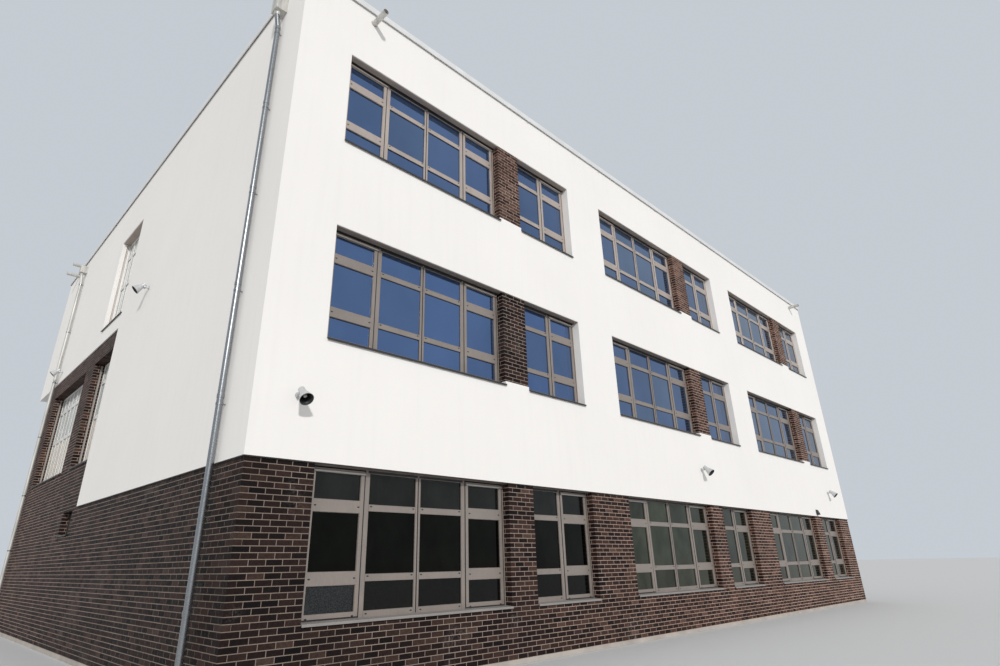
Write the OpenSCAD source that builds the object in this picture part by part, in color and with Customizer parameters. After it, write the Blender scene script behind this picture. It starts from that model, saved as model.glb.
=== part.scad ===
// School building wing: a brick ground storey, two rendered storeys above it
// with bays of windows, and a flat roof behind a metal-capped parapet.
// The top storey reaches out past the lower ones at the rear.

/* [Plan] */
// Distance from the start of one window bay to the start of the next
bay_pitch = 8325; // [8200:25:8800]
// Number of window bays along the front
bay_count = 3; // [2:1:4]
// Wall between a corner of the building and the nearest window bay
end_margin = 1100; // [900:20:1600]
// Depth of the two lower storeys from front to rear
lower_depth = 17430; // [17200:10:18000]
// How far the top storey reaches out past the lower storeys at the rear
rear_overhang = 2020; // [1200:10:2600]
// Thickness of an outer wall, measured from the rendered face
wall_t = 365; // [340:5:420]
// How far the render stands out past the brickwork below it
render_proud = 30; // [10:5:40]

/* [Storeys] */
// Top of the ground floor above the outside ground
floor_0 = 150; // [100:10:200]
// Height of the brick ground storey, where the render begins
render_base = 3083; // [3000:1:3200]
// Top of the first floor above the outside ground
floor_1 = 4100; // [4050:10:4150]
// Height from the first floor to the second floor
storey_h = 3946; // [3900:1:4000]
// Clear height inside each upper storey
clear_h = 3700; // [3640:10:3740]
// Thickness of the floor and roof slabs
slab_t = 250; // [200:10:260]
// Distance from the second floor down to the brickwork that rises on the sides
brick_drop = 379; // [340:1:420]
// Height of the parapet wall above the roof slab
parapet_h = 675; // [600:5:760]
// Thickness of the roof insulation and its covering
roof_cover_t = 150; // [100:10:220]

/* [Front windows] */
// Width of the wide window with four lights
four_w = 4170; // [4100:10:4240]
// Width of the narrow window with two lights
two_w = 1985; // [1940:5:2030]
// Width of the brick pier between the two windows of a bay
pier_w = 715; // [660:5:760]
// Height of the ground storey window openings above the ground
ground_sill = 917; // [850:1:1000]
// Height of the upper window openings above their floor
upper_sill = 948; // [900:1:1000]
// Height of the upper window openings
window_h = 2126; // [2060:1:2180]
// Depth from the rendered face to the window frames
recess = 190; // [160:5:220]
// Depth of a window frame from outside to inside
frame_t = 70; // [60:5:90]
// Thickness of a sheet of glass
glass_t = 24; // [16:1:28]
// Distance from the front of a frame to its glass
glass_in = 22; // [16:1:30]
// Width of the outer frame and its casement on a light that opens
sash_bar = 115; // [95:5:125]
// Width of half a mullion or transom on a fixed light
fixed_bar = 48; // [35:1:60]
// Height of the lower transom above the foot of a front window
low_transom = 564; // [520:2:610]
// Height of the upper transom above the foot of a front window
top_transom = 1579; // [1530:1:1630]
// Rendered upstand under each upper brick pier
pier_foot = 82; // [60:1:100]
// How far the brick piers lie back from the rendered face
pier_back = 20; // [10:5:35]

/* [Side walls] */
// Wall between the rear of the lower storeys and the wide opening
rear_pier_w = 1070; // [960:10:1200]
// Width of the wide opening of the first storey
hall_w = 4150; // [4050:10:4250]
// Wall between the wide opening and the narrow one
hall_pier_w = 975; // [880:5:1060]
// Width of the tall narrow openings next to the step in the brickwork
stair_w = 1975; // [1900:5:2050]
// Height of the tall side openings
tall_h = 2960; // [2900:10:3000]
// Height of the tall side openings above their floor
tall_sill = 80; // [60:5:100]
// Height of the lower transom of the tall side windows above their foot
tall_low = 1410; // [1350:5:1480]
// Height of the upper transom of the tall side windows above their foot
tall_top = 2420; // [2350:5:2480]
// Number of lights of the wide side window, twice that of the narrow ones
hall_lights = 8; // [6:2:8]
// Depth from the rendered face to the upper frames of the sides
side_recess = 210; // [170:5:230]
// Depth from the rendered face to the frames in the brickwork of the sides
deep_recess = 290; // [260:5:295]
// Distance from the step to the small recess
niche_in = 444; // [380:4:600]
// Width of the small recess
niche_w = 1000; // [900:10:1100]
// Height of the small recess above the ground
niche_z = 2467; // [2400:1:2500]
// Height of the small recess itself
niche_h = 555; // [500:5:580]

/* [Roof edge and rainwater] */
// Height of the outer face of the metal cap on the parapet
coping_h = 140; // [110:5:180]
// How far the metal cap stands out from the wall
coping_out = 50; // [40:5:70]
// Outside diameter of the downpipes
pipe_d = 102; // [80:2:120]
// Clear space between a downpipe and the wall
pipe_gap = 40; // [30:5:60]
// Distance from the front to the front downpipes
front_pipe_y = 920; // [700:10:1200]
// Distance from the rear of the lower storeys to the rear downpipes
rear_pipe_in = 830; // [600:10:900]
// Height of the boxes that the downpipes hang from
hopper_h = 260; // [220:10:320]
// Distance between the upper clamps of a downpipe
clamp_pitch = 1895; // [1700:5:2100]
// Height of the lowest clamp of a downpipe above the ground
low_clamp_z = 2270; // [2100:10:2400]
// Outside diameter of the overflow spouts
spout_d = 125; // [100:5:140]
// Reach of the overflow spouts in front of the wall
spout_l = 430; // [380:10:480]
// Depth of the front spouts below the top of the parapet
front_spout_drop = 360; // [320:5:400]

/* [Wall lamps] */
// Diameter of the open mouth of a lamp
lamp_d = 220; // [200:5:240]
// Distance from the wall to the middle of a lamp's mouth
lamp_reach = 290; // [280:5:350]
// Angle by which the lamps look down
lamp_tilt = 45; // [38:1:50]
// Height of the front lamps above the lower edge of the render
lamp_up = 945; // [900:1:1100]
// Length of a lamp's head
head_l = 270; // [240:5:300]

/* [Hidden] */
$fn = 32;
bay_w = four_w + pier_w + two_w;
build_l = 2 * end_margin + (bay_count - 1) * bay_pitch + bay_w;
upper_depth = lower_depth + rear_overhang;
floor_2 = floor_1 + storey_h;
ceiling = floor_2 + clear_h;
raised_brick_top = floor_2 - brick_drop;
parapet_top = ceiling + slab_t + parapet_h;
ground_window_h = render_base - ground_sill;
hall_y = lower_depth - rear_pier_w - hall_w;
tall_y = hall_y - hall_pier_w - stair_w;
step_y = tall_y - 4;
niche_y = step_y + niche_in;
rear_pipe_y = lower_depth - rear_pipe_in;
cap_t = 22;
strip_h = 83;
strip_out = 12;
sill_nose = 34;
box_h = 16;
rim = 12;
head_bar = fixed_bar + 10;
brick_c = [0.23, 0.17, 0.15];
render_c = [0.93, 0.92, 0.89];
frame_c = [0.55, 0.51, 0.46];
white_c = [0.86, 0.86, 0.84];
glass_c = [0.22, 0.32, 0.42];
metal_c = [0.70, 0.72, 0.74];
dark_c = [0.25, 0.24, 0.24];
concrete_c = [0.66, 0.65, 0.62];

// A box between its lowest and its highest corner.
module span(a, b) translate(a) cube(b - a);

// The origin lies on the ground in the middle of the lower storeys.
module site() translate([-build_l / 2, -lower_depth / 2, 0]) children();

// Local x runs along a wall, local y goes inwards from its outer face.
module on_rear(depth) translate([build_l, depth, 0]) rotate([0, 0, 180]) children();
module on_left() mirror([1, -1, 0]) children();
module on_right() translate([build_l, 0, 0]) rotate([0, 0, 90]) children();
module on_both_sides() {
    on_left() children();
    on_right() children();
}

function bay_x(b) = end_margin + b * bay_pitch;
function upper_z(s) = (s == 1 ? floor_1 : floor_2) + upper_sill;
function tall_z(s) = (s == 1 ? floor_1 : floor_2) + tall_sill;

// The openings of one row in which every window is cut by itself.
module row_holes(z0, z1) for (b = [0 : bay_count - 1]) {
    span([bay_x(b), -1, z0], [bay_x(b) + four_w, wall_t + 1, z1]);
    span([bay_x(b) + four_w + pier_w, -1, z0], [bay_x(b) + bay_w, wall_t + 1, z1]);
}

// The openings of one row in which a bay is one opening with a low upstand.
module bay_holes(z0) for (b = [0 : bay_count - 1]) difference() {
    span([bay_x(b), -1, z0], [bay_x(b) + bay_w, wall_t + 1, z0 + window_h]);
    span([bay_x(b) + four_w, -2, z0 - 1],
         [bay_x(b) + four_w + pier_w, wall_t + 2, z0 + pier_foot]);
}

module bay_piers(z0) for (b = [0 : bay_count - 1])
    span([bay_x(b) + four_w, pier_back, z0 + pier_foot],
         [bay_x(b) + four_w + pier_w, wall_t, z0 + window_h]);

// Floors and roof

module inner_slab(depth, z0, z1)
    site() span([wall_t, wall_t, z0], [build_l - wall_t, depth - wall_t, z1]);

module ground_floor() color(concrete_c) inner_slab(lower_depth, 0, floor_0);
module first_floor() color(concrete_c)
    inner_slab(lower_depth, floor_1 - slab_t, floor_1);
module second_floor() color(concrete_c)
    inner_slab(upper_depth, floor_2 - slab_t, floor_2);
module overhang_soffit() color(render_c) site()
    span([wall_t, lower_depth - wall_t, raised_brick_top],
         [build_l - wall_t, upper_depth - wall_t, floor_2 - slab_t]);
module roof_slab() color(concrete_c)
    inner_slab(upper_depth, ceiling, ceiling + slab_t);
module roof_covering() color([0.42, 0.42, 0.41])
    inner_slab(upper_depth, ceiling + slab_t, ceiling + slab_t + roof_cover_t);

// The metal cap rests on the parapet and hangs down on both of its faces.
module roof_coping() color(metal_c) site() difference() {
    span([-coping_out, -coping_out, parapet_top + cap_t - coping_h],
         [build_l + coping_out, upper_depth + coping_out, parapet_top + cap_t]);
    span([cap_t - coping_out, cap_t - coping_out, 0],
         [build_l + coping_out - cap_t, upper_depth + coping_out - cap_t,
          parapet_top]);
    span([wall_t + coping_out, wall_t + coping_out, 0],
         [build_l - wall_t - coping_out, upper_depth - wall_t - coping_out,
          parapet_top + cap_t + 1]);
}

// A pale strip along the foot of the brickwork.
module footing_strip() color(concrete_c) site() difference() {
    span([render_proud - strip_out, render_proud - strip_out, 0],
         [build_l - render_proud + strip_out,
          lower_depth - render_proud + strip_out, strip_h]);
    span([render_proud, render_proud, -1],
         [build_l - render_proud, lower_depth - render_proud, strip_h + 1]);
}

// Brick walls

module front_brick_wall() color(brick_c) site() difference() {
    span([render_proud, render_proud, 0],
         [build_l - render_proud, wall_t, render_base]);
    row_holes(ground_sill, render_base + 1);
}

// A side wall steps up by a storey and holds two tall recessed windows.
module side_brick() difference() {
    union() {
        span([wall_t, render_proud, 0], [lower_depth - wall_t, wall_t, render_base]);
        span([step_y, render_proud, render_base - 1],
             [lower_depth - wall_t, wall_t, raised_brick_top]);
    }
    span([tall_y, -1, tall_z(1)], [tall_y + stair_w, wall_t + 1, tall_z(1) + tall_h]);
    span([hall_y, -1, tall_z(1)], [hall_y + hall_w, wall_t + 1, tall_z(1) + tall_h]);
    span([niche_y, -1, niche_z], [niche_y + niche_w, side_recess, niche_z + niche_h]);
}
module left_brick_wall() color(brick_c) site() on_left() side_brick();
module right_brick_wall() color(brick_c) site() on_right() side_brick();

module rear_brick_wall() color(brick_c) site() on_rear(lower_depth) difference() {
    span([render_proud, render_proud, 0],
         [build_l - render_proud, wall_t, raised_brick_top]);
    row_holes(ground_sill, ground_sill + ground_window_h);
    row_holes(upper_z(1), upper_z(1) + window_h);
}

// Rendered walls

module front_render_wall() color(render_c) site() difference() {
    span([0, 0, render_base], [build_l, wall_t, parapet_top]);
    for (s = [1, 2]) bay_holes(upper_z(s));
    for (x = front_spouts) spout_hole(x, front_spout_drop);
}

module side_render() difference() {
    union() {
        span([wall_t, 0, render_base], [step_y, wall_t, parapet_top]);
        span([step_y - 1, 0, raised_brick_top],
             [upper_depth - wall_t, wall_t, parapet_top]);
    }
    span([tall_y, -1, tall_z(2)], [tall_y + stair_w, wall_t + 1, tall_z(2) + tall_h]);
    for (y = side_spouts) spout_hole(y, side_spout_drop);
}
module left_render_wall() color(render_c) site() on_left() side_render();
module right_render_wall() color(render_c) site() on_right() side_render();

module rear_render_wall() color(render_c) site() on_rear(upper_depth) difference() {
    span([0, 0, raised_brick_top], [build_l, wall_t, parapet_top]);
    bay_holes(upper_z(2));
}

// A thin rail closes the lower edge of the render where it overhangs the brick.
module render_drip_rail() color(dark_c) site() {
    span([0, 0, render_base - 14], [build_l, render_proud, render_base]);
    on_both_sides()
        span([render_proud, 0, render_base - 14], [step_y, render_proud, render_base]);
}

module upper_window_piers() color(brick_c) site() {
    for (s = [1, 2]) bay_piers(upper_z(s));
    on_rear(upper_depth) bay_piers(upper_z(2));
}

// Windows. A frame is a grid of bars in front and a rim behind, which holds
// one sheet of glass. A light that opens has wider bars than a fixed one.

module window_frame(w, h, lights, opens, rows, depth = recess, bar = sash_bar) {
    light_w = w / lights;
    difference() {
        span([0, depth, 0], [w, depth + frame_t, h]);
        span([rim, depth + glass_in, rim], [w - rim, depth + frame_t + 1, h - rim]);
        for (i = [0 : lights - 1]) for (r = [0 : len(rows) - 2]) {
            side = opens[i] ? bar : fixed_bar;
            left = i == 0 ? bar : side;
            right = i == lights - 1 ? bar : side;
            rail = opens[i] ? bar * 0.8 : fixed_bar;
            low = r == 0 ? bar - 8 : rail;
            high = r == len(rows) - 2 ? (opens[i] ? bar * 0.85 : head_bar) : rail;
            span([i * light_w + left, depth - 1, rows[r] + low],
                 [(i + 1) * light_w - right, depth + frame_t, rows[r + 1] - high]);
        }
    }
}

module window_glass(w, h, depth = recess)
    span([rim, depth + glass_in, rim], [w - rim, depth + glass_in + glass_t, h - rim]);

function front_rows(h) = [0, low_transom, top_transom, h];

// The wide and the narrow window of each bay, in one row.
module row_frames(z0, h) for (b = [0 : bay_count - 1]) {
    translate([bay_x(b), 0, z0])
        window_frame(four_w, h, 4, [true, false, false, true], front_rows(h));
    translate([bay_x(b) + four_w + pier_w, 0, z0])
        window_frame(two_w, h, 2, [false, true], front_rows(h));
}
module row_glass(z0, h) for (b = [0 : bay_count - 1]) {
    translate([bay_x(b), 0, z0]) window_glass(four_w, h);
    translate([bay_x(b) + four_w + pier_w, 0, z0]) window_glass(two_w, h);
}

module ground_window_frames() color(frame_c) site()
    row_frames(ground_sill, ground_window_h);
module first_window_frames() color(frame_c) site() row_frames(upper_z(1), window_h);
module second_window_frames() color(frame_c) site() row_frames(upper_z(2), window_h);
module rear_window_frames() color(frame_c) site() {
    on_rear(lower_depth) {
        row_frames(ground_sill, ground_window_h);
        row_frames(upper_z(1), window_h);
    }
    on_rear(upper_depth) row_frames(upper_z(2), window_h);
}

module ground_window_glass() color(glass_c) site()
    row_glass(ground_sill, ground_window_h);
module first_window_glass() color(glass_c) site() row_glass(upper_z(1), window_h);
module second_window_glass() color(glass_c) site() row_glass(upper_z(2), window_h);
module rear_window_glass() color(glass_c) site() {
    on_rear(lower_depth) {
        row_glass(ground_sill, ground_window_h);
        row_glass(upper_z(1), window_h);
    }
    on_rear(upper_depth) row_glass(upper_z(2), window_h);
}

// Ribbed covers of the blind boxes, under the heads of the upper windows.
module blind_box(w, depth = recess) translate([0, 0, -box_h]) difference() {
    span([0, pier_back, 0], [w, depth, box_h]);
    for (i = [1 : 4])
        translate([-1, pier_back + i * (depth - pier_back) / 5, 0])
            rotate([0, 90, 0]) cylinder(r = 7, h = w + 2, $fn = 8);
}
module row_boxes(z) for (b = [0 : bay_count - 1]) {
    translate([bay_x(b), 0, z]) blind_box(four_w);
    translate([bay_x(b) + four_w + pier_w, 0, z]) blind_box(two_w);
}
module blind_boxes() color(frame_c) site() {
    for (s = [1, 2]) row_boxes(upper_z(s) + window_h);
    on_rear(upper_depth) row_boxes(upper_z(2) + window_h);
    on_both_sides() translate([tall_y, 0, tall_z(2) + tall_h])
        blind_box(stair_w, side_recess);
}

// A folded sill slopes outwards and ends in a drip nose before the wall face.
module sill(w, face, depth)
    rotate([90, 0, 90]) linear_extrude(w)
        polygon([[depth, 0], [depth, 26], [face - sill_nose, 12],
                 [face - sill_nose, -24], [face - sill_nose + 6, -24],
                 [face - sill_nose + 6, 0]]);
module row_sills(z, face) for (b = [0 : bay_count - 1]) {
    translate([bay_x(b), 0, z]) sill(four_w, face, recess);
    translate([bay_x(b) + four_w + pier_w, 0, z]) sill(two_w, face, recess);
}
module ground_window_sills() color(metal_c) site() row_sills(ground_sill, render_proud);
module upper_window_sills() color(dark_c) site()
    for (s = [1, 2]) row_sills(upper_z(s), 0);
module rear_window_sills() color(dark_c) site() {
    on_rear(lower_depth) {
        row_sills(ground_sill, render_proud);
        row_sills(upper_z(1), render_proud);
    }
    on_rear(upper_depth) row_sills(upper_z(2), 0);
}

// Side windows

function tall_rows() = [0, tall_low, tall_top, tall_h];
function tall_depth(s) = s == 1 ? deep_recess : side_recess;
function all_fixed(n) = [for (i = [1 : n]) false];
module stair_window_frames() color(white_c) site() on_both_sides()
    for (s = [1, 2]) translate([tall_y, 0, tall_z(s)])
        window_frame(stair_w, tall_h, hall_lights / 2, all_fixed(hall_lights / 2),
                     tall_rows(), tall_depth(s), 70);
module stair_window_glass() color(glass_c) site() on_both_sides()
    for (s = [1, 2]) translate([tall_y, 0, tall_z(s)])
        window_glass(stair_w, tall_h, tall_depth(s));
module hall_window_frames() color(white_c) site() on_both_sides()
    translate([hall_y, 0, tall_z(1)])
        window_frame(hall_w, tall_h, hall_lights, all_fixed(hall_lights),
                     tall_rows(), deep_recess, 70);
module hall_window_glass() color(glass_c) site() on_both_sides()
    translate([hall_y, 0, tall_z(1)]) window_glass(hall_w, tall_h, deep_recess);
module side_window_sills() color(dark_c) site() on_both_sides() {
    translate([tall_y, 0, tall_z(1)]) sill(stair_w, render_proud, deep_recess);
    translate([tall_y, 0, tall_z(2)]) sill(stair_w, 0, side_recess);
    translate([hall_y, 0, tall_z(1)]) sill(hall_w, render_proud, deep_recess);
    translate([niche_y, 0, niche_z]) sill(niche_w, render_proud, side_recess);
}
module niche_panel() color(dark_c) site() on_both_sides()
    span([niche_y, side_recess - 30, niche_z + 26],
         [niche_y + niche_w, side_recess, niche_z + niche_h]);

// Rainwater goods

pipe_axis = -pipe_gap - pipe_d / 2;
hopper_out = 230;
hopper_w = 250;
outlet_axis = -hopper_out / 2 - 28;
funnel_h = 90;
neck_h = 280;
front_hopper_z = parapet_top - 601;
rear_hopper_z = parapet_top - 666;
front_hopper_h = hopper_h + 120;
clamp_top = parapet_top - 1161;
collar_up = 110;
foot_z = 1070;
function clamp_rows() = concat(
    [for (z = [clamp_top : -clamp_pitch : low_clamp_z + clamp_pitch / 2]) z],
    [low_clamp_z]);
function pipe_top(z) = z - funnel_h - neck_h;

// The bent neck that leads from the outlet of a box back to the pipe.
module neck(d, top) {
    lean = pipe_axis - outlet_axis;
    translate([0, 0, top]) sphere(d = d);
    translate([0, 0, top]) rotate([atan(lean / neck_h), 0, 0])
        cylinder(d = d, h = neck_h / cos(atan(lean / neck_h)) + 20);
}

// A pipe with a collar at every joint, a little above each clamp.
module rain_pipe(y, top) translate([y, pipe_axis, 0]) difference() {
    union() {
        cylinder(d = pipe_d, h = top);
        neck(pipe_d, top);
        translate([0, 0, top - 70]) cylinder(d = pipe_d + 10, h = 60);
        for (z = clamp_rows()) if (z + 400 < top) translate([0, 0, z + collar_up])
            cylinder(d = pipe_d + 10, h = 60);
        translate([0, 0, foot_z]) cylinder(d = pipe_d + 16, h = 70);
    }
    translate([0, 0, 40]) cylinder(d = pipe_d - 8, h = top - 40);
    neck(pipe_d - 8, top);
    span([-pipe_d, outlet_axis - pipe_axis - pipe_d, top + neck_h],
         [pipe_d, pipe_d, top + neck_h + 60]);
}
module front_downpipes() color(metal_c) site() on_both_sides()
    rain_pipe(front_pipe_y, pipe_top(front_hopper_z));
module rear_downpipes() color(metal_c) site() on_both_sides()
    rain_pipe(rear_pipe_y, pipe_top(rear_hopper_z));

// An open box with a funnel below it that ends on the pipe.
module rain_hopper(y, z, h) translate([y, 0, z]) difference() {
    union() {
        span([-hopper_w / 2, -hopper_out, 0], [hopper_w / 2, 0, h]);
        translate([0, outlet_axis, -funnel_h])
            cylinder(d1 = pipe_d + 8, d2 = pipe_d + 50, h = funnel_h);
    }
    span([6 - hopper_w / 2, 6 - hopper_out, 8], [hopper_w / 2 - 6, -6, h + 1]);
    translate([0, outlet_axis, -funnel_h - 1])
        cylinder(d1 = pipe_d - 8, d2 = pipe_d + 20, h = funnel_h + 12);
}
module rain_hoppers() color(metal_c) site() on_both_sides() {
    rain_hopper(front_pipe_y, front_hopper_z, front_hopper_h);
    rain_hopper(rear_pipe_y, rear_hopper_z, hopper_h);
}

// A clamp is a ring round the pipe on a stem that is fixed in the wall.
module pipe_clamp(y, z, face) translate([y, 0, z]) {
    translate([0, pipe_axis, 0]) difference() {
        cylinder(d = pipe_d + 10, h = 36);
        translate([0, 0, -1]) cylinder(d = pipe_d, h = 38);
    }
    span([-9, pipe_axis + pipe_d / 2 + 1, 9], [9, face, 27]);
}
module clamps_of(y) for (z = clamp_rows())
    pipe_clamp(y, z, z > (y > step_y ? raised_brick_top : render_base) ? 0 : render_proud);
module pipe_clamps() color(metal_c) site() on_both_sides() {
    clamps_of(front_pipe_y);
    clamps_of(rear_pipe_y);
}

// Spouts run through the parapet, just above the roof covering. Each has a
// flange on the outer face, and a little clearance in its hole.
spout_play = 2;
side_spout_drop = coping_h + spout_d / 2 + 17.5;
front_spouts = [bay_x(0) + four_w / 9, build_l - 1.132 * end_margin];
side_spouts = [lower_depth - 0.515 * rear_pipe_in, upper_depth - 0.7 * rear_overhang];
module spout_hole(x, drop) translate([x, -1, parapet_top - drop]) rotate([-90, 0, 0])
    cylinder(d = spout_d + 2 * spout_play, h = wall_t + 2);
module spout(x, drop) translate([x, 0, parapet_top - drop]) rotate([90, 0, 0])
    difference() {
        union() {
            translate([0, 0, -wall_t]) cylinder(d = spout_d, h = wall_t + spout_l);
            cylinder(d = spout_d + 30, h = 6);
        }
        translate([0, 0, -wall_t - 1]) cylinder(d = spout_d - 8, h = wall_t + spout_l + 2);
    }
module overflow_spouts() color(metal_c) site() {
    for (x = front_spouts) spout(x, front_spout_drop);
    on_both_sides() for (y = side_spouts) spout(y, side_spout_drop);
}

// Wall lamps: a plate, a short arm, a joint and a cone that is open at its mouth.

neck_l = 0.3 * head_l;
lamp_back_d = 104;
head_back = lamp_reach - head_l * cos(lamp_tilt);
mouth_drop = 116;
head_rise = head_l * sin(lamp_tilt) - mouth_drop;
front_lamps = [0.0272 * build_l, 0.5183 * build_l, 0.9287 * build_l];
side_lamp_z = raised_brick_top + 366;
side_lamps = [step_y - tall_h * 0.782, lower_depth - 1.25 * rear_pier_w];
side_lamp_turn = 12;

// Places what belongs to a lamp's head: turned along the wall and tilted down,
// with the middle of its mouth at its reach from the wall.
module on_lamp(x, z, turn) translate([x, 0, z]) rotate([0, 0, turn])
    translate([0, -head_back, head_rise]) rotate([90 + lamp_tilt, 0, 0]) children();
module lamp_shade(x, z, turn) {
    translate([x, 0, z]) rotate([90, 0, 0])
        cylinder(d = 96, h = 14);
    translate([x, 0, z]) rotate([0, 0, turn]) {
        rotate([90, 0, 0]) translate([0, 0, 8]) cylinder(d = 40, h = head_back + 17);
        translate([0, -head_back, 0]) rotate([0, 90, 0])
            translate([0, 0, -62]) cylinder(d = 40, h = 124);
    }
    on_lamp(x, z, turn) difference() {
        union() {
            cylinder(d = lamp_back_d, h = neck_l + 4);
            translate([0, 0, neck_l])
                cylinder(d1 = lamp_back_d, d2 = lamp_d, h = head_l - neck_l);
        }
        translate([0, 0, neck_l + 8])
            cylinder(d1 = lamp_back_d - 8, d2 = lamp_d - 8, h = head_l - neck_l);
    }
}
module lamp_bulb(x, z, turn) on_lamp(x, z, turn) translate([0, 0, neck_l + 8]) {
    cylinder(d = 60, h = 0.32 * head_l);
    translate([0, 0, 0.32 * head_l]) sphere(d = 60);
}
module wall_lamps() color(metal_c) site() {
    for (x = front_lamps) lamp_shade(x, render_base + lamp_up, 0);
    on_both_sides() for (y = side_lamps) lamp_shade(y, side_lamp_z, side_lamp_turn);
}
module lamp_bulbs() color([0.6, 0.6, 0.56]) site() {
    for (x = front_lamps) lamp_bulb(x, render_base + lamp_up, 0);
    on_both_sides() for (y = side_lamps) lamp_bulb(y, side_lamp_z, side_lamp_turn);
}

// A small dark box with a sloping top, low on the render of the front.
module wall_boxes() color(dark_c) site()
    translate([0.8581 * build_l, 0, render_base + 45]) rotate([90, 0, 90])
        linear_extrude(150) polygon([[0, 0], [0, 190], [-45, 170], [-95, 40], [-95, 0]]);

ground_floor();
first_floor();
second_floor();
overhang_soffit();
roof_slab();
roof_covering();
roof_coping();
footing_strip();
front_brick_wall();
left_brick_wall();
right_brick_wall();
rear_brick_wall();
front_render_wall();
left_render_wall();
right_render_wall();
rear_render_wall();
render_drip_rail();
upper_window_piers();
blind_boxes();
ground_window_frames();
first_window_frames();
second_window_frames();
rear_window_frames();
ground_window_glass();
first_window_glass();
second_window_glass();
rear_window_glass();
ground_window_sills();
upper_window_sills();
rear_window_sills();
stair_window_frames();
stair_window_glass();
hall_window_frames();
hall_window_glass();
side_window_sills();
niche_panel();
front_downpipes();
rear_downpipes();
rain_hoppers();
pipe_clamps();
overflow_spouts();
wall_lamps();
lamp_bulbs();
wall_boxes();
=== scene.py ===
import math

import bpy
import numpy as np
from mathutils import Matrix


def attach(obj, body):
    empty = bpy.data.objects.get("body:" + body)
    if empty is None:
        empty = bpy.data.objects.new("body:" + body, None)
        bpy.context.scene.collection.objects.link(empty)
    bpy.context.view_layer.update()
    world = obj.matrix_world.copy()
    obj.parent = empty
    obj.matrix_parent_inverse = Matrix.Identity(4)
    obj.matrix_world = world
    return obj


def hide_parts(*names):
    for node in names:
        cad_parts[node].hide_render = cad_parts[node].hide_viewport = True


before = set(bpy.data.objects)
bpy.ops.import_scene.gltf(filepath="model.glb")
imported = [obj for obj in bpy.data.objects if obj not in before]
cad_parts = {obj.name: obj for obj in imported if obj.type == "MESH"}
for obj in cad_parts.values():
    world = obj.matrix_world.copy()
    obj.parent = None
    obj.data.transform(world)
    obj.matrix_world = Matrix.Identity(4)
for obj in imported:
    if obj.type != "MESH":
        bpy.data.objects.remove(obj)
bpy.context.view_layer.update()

rng = np.random.default_rng(1907)

# sizes in metres, the same ones that the solids were built from
plan = {
    "bayPitch": 8.325, "bays": 3, "margin": 1.100,
    "fourW": 4.170, "pierW": 0.715, "twoW": 1.985,
    "lowerDepth": 17.430, "upperDepth": 19.450, "length": 25.720,
    "courses": 37, "brickBack": 0.030, "brickTop": 3.083, "raisedTop": 7.667,
    "groundSill": 0.917, "groundH": 2.166,
    "firstSill": 5.048, "secondSill": 8.994, "windowH": 2.126,
    "lowTransom": 0.564, "topTransom": 1.579,
    "pierFoot": 0.082, "pierBack": 0.020, "recess": 0.190,
    "glassDeep": 0.024, "glassIn": 0.022,
    "openBar": 0.115, "fixedBar": 0.048, "headBar": 0.058,
    "stepY": 9.256, "stairY": 9.260, "stairW": 1.975,
    "hallY": 12.210, "hallW": 4.150, "rearPierW": 1.070, "tallH": 2.960,
    "tallFirst": 4.180, "tallSecond": 8.126, "tallLow": 1.410, "tallTop": 2.420,
    "sideRecess": 0.210, "deepRecess": 0.290, "sideBar": 0.070,
    "nicheY": 9.700, "nicheW": 1.000, "nicheZ": 2.467, "nicheH": 0.555, "nichePanel": 0.030,
    "wallT": 0.365, "parapetTop": 12.671, "copingOut": 0.050, "copingH": 0.140, "sheetT": 0.003,
}
toRight, toRear, up = np.eye(3)
corner = np.array([-plan["length"] / 2, -plan["lowerDepth"] / 2, 0.0])
rightCorner = corner + plan["length"] * toRight

# a wall is a corner, the way along it and the way into it
walls = {
    "front": (corner, toRight, toRear),
    "left": (corner, toRear, toRight),
    "right": (rightCorner, toRear, -toRight),
    "rearLow": (rightCorner + plan["lowerDepth"] * toRear, -toRight, -toRear),
    "rearTop": (rightCorner + plan["upperDepth"] * toRear, -toRight, -toRear),
}
sides = ("left", "right")


def onWall(points, wall):
    # place = wall corner + x times the way along + y times the way in + z upwards
    origin, along, inward = walls[wall]
    return origin + points[:, :1] * along + points[:, 1:2] * inward + points[:, 2:3] * up


def outward(verts, quads):
    # turns every face round when the signed volume of the closed bodies is negative
    a, b, c, d = (verts[quads[:, i]] for i in range(4))
    volume = (np.cross(a, b) * c).sum() + (np.cross(a, c) * d).sum()
    return quads if volume > 0 else quads[:, ::-1]


def partOn(wall, verts, quads, tone=None):
    # the points, outward faces and tones of some bodies on a wall; the middle tone where none is given
    placed = onWall(verts, wall)
    if tone is None:
        tone = np.full((len(verts), 4), 0.5)
    return placed, outward(placed, quads), tone


def pointsAt(x, y, z):
    # one point for each x, y and z; a number that stands alone counts for all of them
    return np.stack(np.broadcast_arrays(x, y, z), -1)


def turns(count):
    return np.linspace(0, 2 * np.pi, count, endpoint=False)


def closedGrid(rows, columns):
    # faces of a grid of points that closes in both directions
    i, j = np.meshgrid(np.arange(rows), np.arange(columns), indexing="ij")
    nextI, nextJ = (i + 1) % rows, (j + 1) % columns
    ring = [i * columns + j, nextI * columns + j, nextI * columns + nextJ, i * columns + nextJ]
    return np.stack(ring, -1).reshape(-1, 4)


def copies(quads, points, count):
    # the faces of count equal bodies that have so many points each
    return (quads[None] + points * np.arange(count)[:, None, None]).reshape(-1, 4)


def repeated(wall, body, quads, centres):
    # the same body at each centre
    verts = (np.array(centres)[:, None] + body).reshape(-1, 3)
    return partOn(wall, verts, copies(quads, len(body), len(centres)))


def intoScene(name, data):
    thing = bpy.data.objects.new(name, data)
    bpy.context.scene.collection.objects.link(thing)
    return thing


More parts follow.
